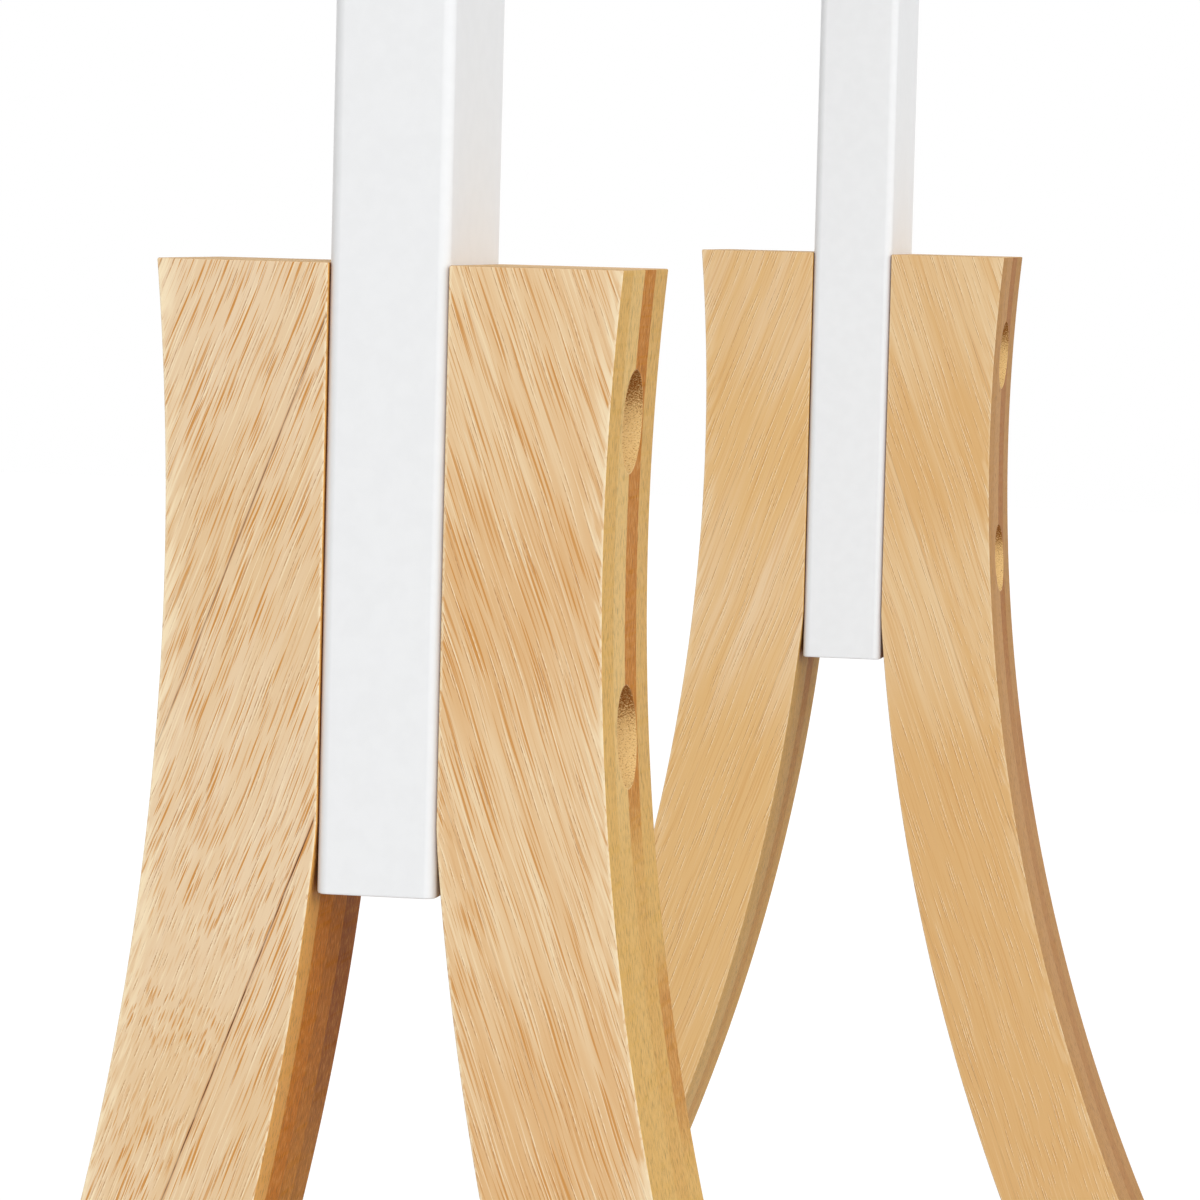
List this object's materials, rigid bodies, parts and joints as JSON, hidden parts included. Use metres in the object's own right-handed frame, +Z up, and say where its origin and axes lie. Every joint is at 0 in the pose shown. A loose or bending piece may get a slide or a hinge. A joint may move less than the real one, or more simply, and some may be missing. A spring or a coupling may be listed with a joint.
{
  "type": "towel stand",
  "caption": "Free-standing towel stand: white rectangular steel uprights with round towel rails between them, each upright clamped between two splayed, curved bamboo legs.",
  "frame": {"origin": "on the floor, at the middle of the stand's footprint", "axes": "+X along the towel rails, from the upright seen nearest in the picture to the far one; -Y the front, where the leg bolts' heads are; +Z up"},
  "size_m": [0.561, 0.3014, 0.852],
  "materials": {
    "powder_coated_steel": "satin white powder coat",
    "laminated_bamboo": "clear satin lacquer on laminated bamboo",
    "zinc_plated_steel": "bright zinc plate",
    "white_plastic": "matt moulded plastic",
    "black_rubber": "matt moulded rubber"
  },
  "bodies": {
    "root": {"upright_left": "powder_coated_steel", "upright_right": "powder_coated_steel", "leg_front_left": "laminated_bamboo", "leg_back_left": "laminated_bamboo", "leg_front_right": "laminated_bamboo", "leg_back_right": "laminated_bamboo", "rail_top": "powder_coated_steel", "rail_middle": "powder_coated_steel", "rail_bottom": "powder_coated_steel", "rail_inserts_left": "zinc_plated_steel", "rail_inserts_right": "zinc_plated_steel", "rail_bolts_left": "zinc_plated_steel", "rail_bolts_right": "zinc_plated_steel", "leg_bolts_left": "zinc_plated_steel", "leg_bolts_right": "zinc_plated_steel", "sleeve_nuts_left": "zinc_plated_steel", "sleeve_nuts_right": "zinc_plated_steel", "top_plug_left": "white_plastic", "top_plug_right": "white_plastic", "bottom_plug_left": "white_plastic", "bottom_plug_right": "white_plastic", "foot_pad_front_left": "black_rubber", "foot_pad_back_left": "black_rubber", "foot_pad_front_right": "black_rubber", "foot_pad_back_right": "black_rubber", "pad_screw_front_left": "zinc_plated_steel", "pad_screw_back_left": "zinc_plated_steel", "pad_screw_front_right": "zinc_plated_steel", "pad_screw_back_right": "zinc_plated_steel"}
  },
  "joints": []
}
